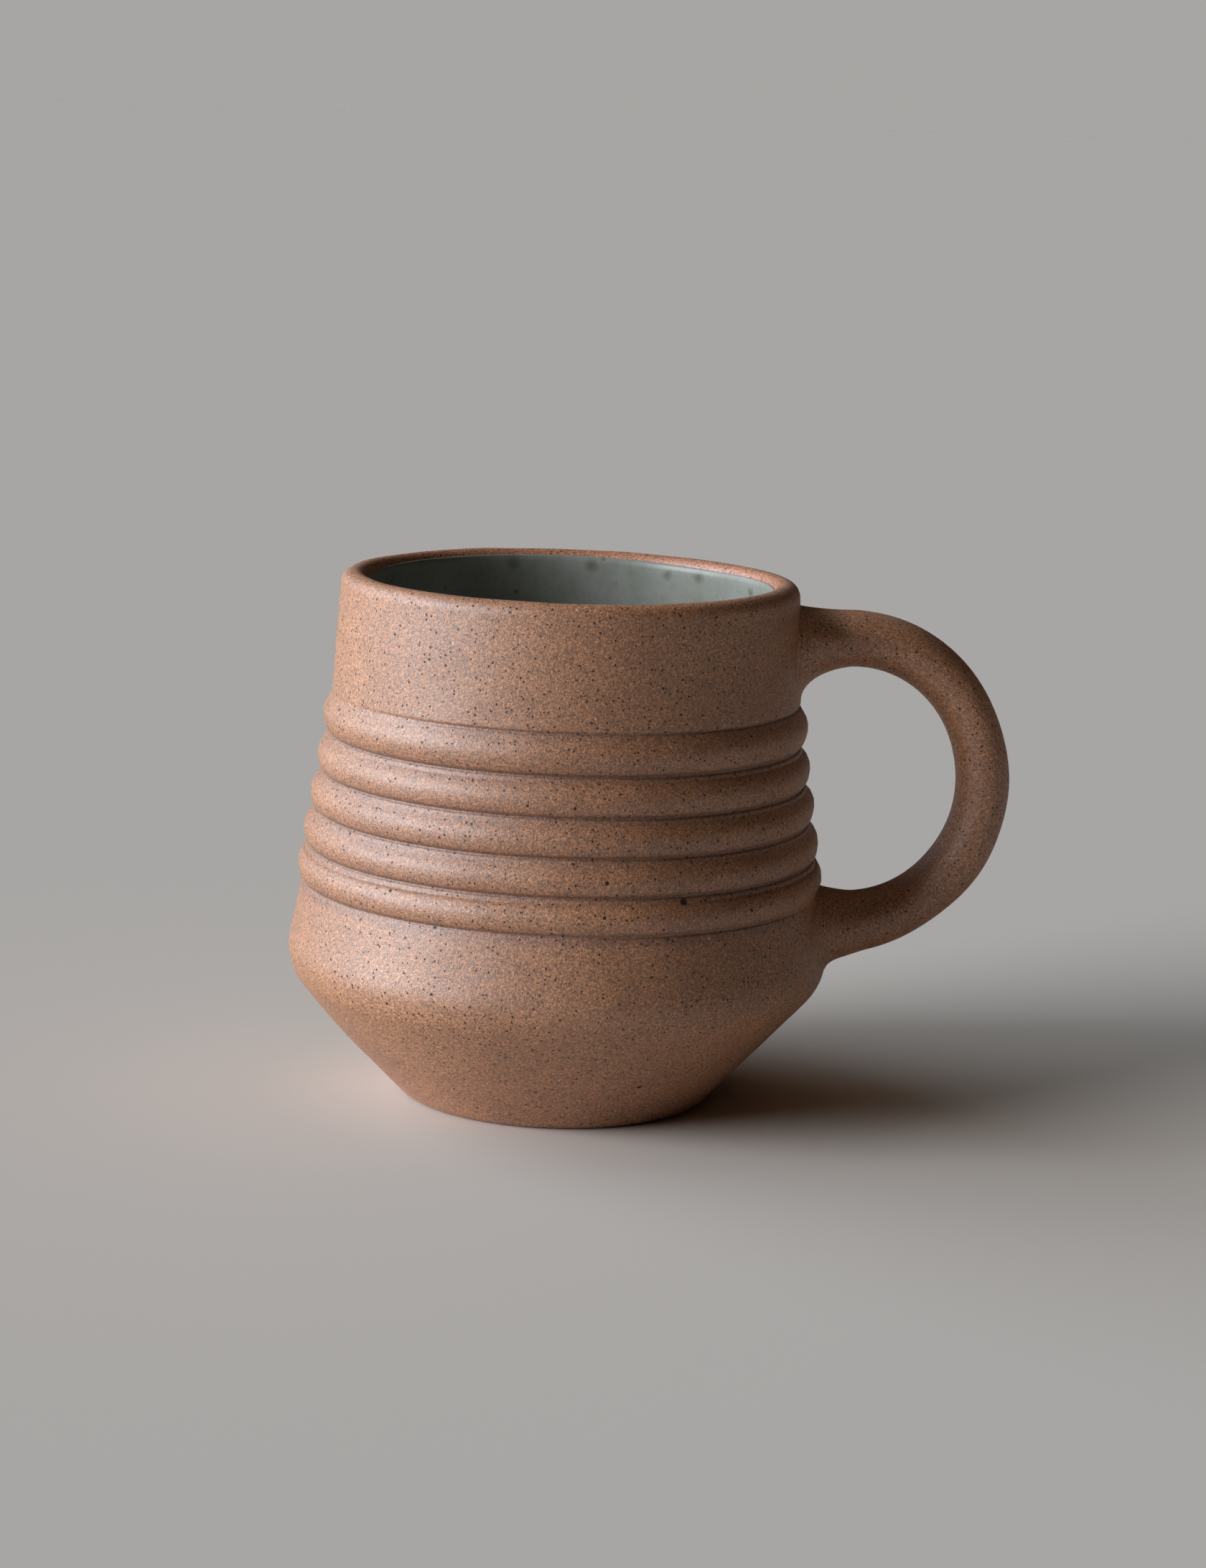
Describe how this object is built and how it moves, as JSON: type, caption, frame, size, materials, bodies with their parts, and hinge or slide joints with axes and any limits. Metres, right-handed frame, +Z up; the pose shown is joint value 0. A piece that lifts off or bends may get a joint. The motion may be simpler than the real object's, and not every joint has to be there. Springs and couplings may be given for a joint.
{
  "type": "ribbed stoneware mug",
  "caption": "Stoneware mug with a belted belly, turned ribs, a looped side handle and a glazed inside; it stands on a small foot.",
  "frame": {"origin": "centre of the foot, on the plane that the mug stands on", "axes": "+Z up along the axis of the thrown body, +X towards the handle"},
  "size_m": [0.1294, 0.098, 0.095],
  "materials": {
    "stoneware": "bare, dry and matte, with fine dark iron specks",
    "celadon_glaze": "glossy grey-green glaze with soft mottles"
  },
  "bodies": {
    "root": {"thrown_body": "stoneware", "handle": "stoneware", "upper_slip_joint": "stoneware", "lower_slip_joint": "stoneware", "glaze_liner": "celadon_glaze"}
  },
  "joints": []
}
